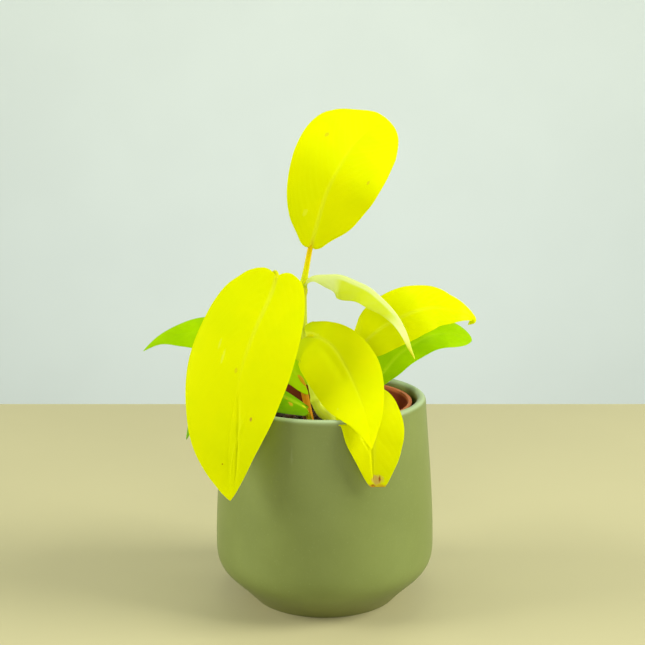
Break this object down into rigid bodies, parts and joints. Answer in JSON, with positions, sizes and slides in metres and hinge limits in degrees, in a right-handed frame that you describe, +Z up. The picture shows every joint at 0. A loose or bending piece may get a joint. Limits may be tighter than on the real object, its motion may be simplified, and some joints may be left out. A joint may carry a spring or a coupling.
{
  "type": "potted philodendron",
  "caption": "Young philodendron with broad lime-yellow and green leaves on slender stalks, in a thin nursery pot inside a rounded, tapering satin-glazed planter.",
  "frame": {"origin": "centre of the planter's flat foot, on the surface it stands on", "axes": "+Z up along the planter's axis, -Y towards the front of the plant, +X to the right seen from the front"},
  "size_m": [0.236, 0.1607, 0.3372],
  "materials": {
    "glaze": "satin sage-olive glaze",
    "nursery_plastic": "thin terracotta-coloured plastic, satin",
    "soil": "moist crumbly peat",
    "perlite": "matt white grains",
    "bark": "rough bark chips",
    "lime_leaf_blade": "smooth satin leaf, lime yellow",
    "new_leaf_blade": "soft pale leaf, still unrolling",
    "green_leaf_blade": "smooth satin leaf, fresh green",
    "yellow_stalk": "smooth juicy stalk, yellow",
    "stem_green": "smooth stem, yellow-green",
    "rust_stalk": "smooth stalk, rusty orange",
    "dried_sheath": "dry papery brown sheath"
  },
  "bodies": {
    "root": {"planter": "glaze", "nursery_pot": "nursery_plastic", "potting_soil": "soil", "main_stem": "stem_green", "top_leaf": "lime_leaf_blade", "top_leaf_stalk": "yellow_stalk", "left_leaf": "lime_leaf_blade", "left_leaf_stalk": "yellow_stalk", "centre_leaf": "lime_leaf_blade", "centre_leaf_stalk": "yellow_stalk", "low_front_leaf": "lime_leaf_blade", "low_front_leaf_stalk": "yellow_stalk", "new_leaf": "new_leaf_blade", "new_leaf_stalk": "yellow_stalk", "right_leaf": "lime_leaf_blade", "right_leaf_stalk": "yellow_stalk", "right_green_leaf": "green_leaf_blade", "right_green_leaf_stalk": "yellow_stalk", "left_green_leaf": "green_leaf_blade", "left_green_leaf_stalk": "rust_stalk", "low_left_leaf": "green_leaf_blade", "low_left_leaf_stalk": "yellow_stalk", "side_shoot": "stem_green", "dried_sheath_1": "dried_sheath", "dried_sheath_2": "dried_sheath", "perlite_1": "perlite", "perlite_2": "perlite", "perlite_3": "perlite", "perlite_4": "perlite", "perlite_5": "perlite", "bark_1": "bark", "bark_2": "bark", "bark_3": "bark"}
  },
  "joints": []
}
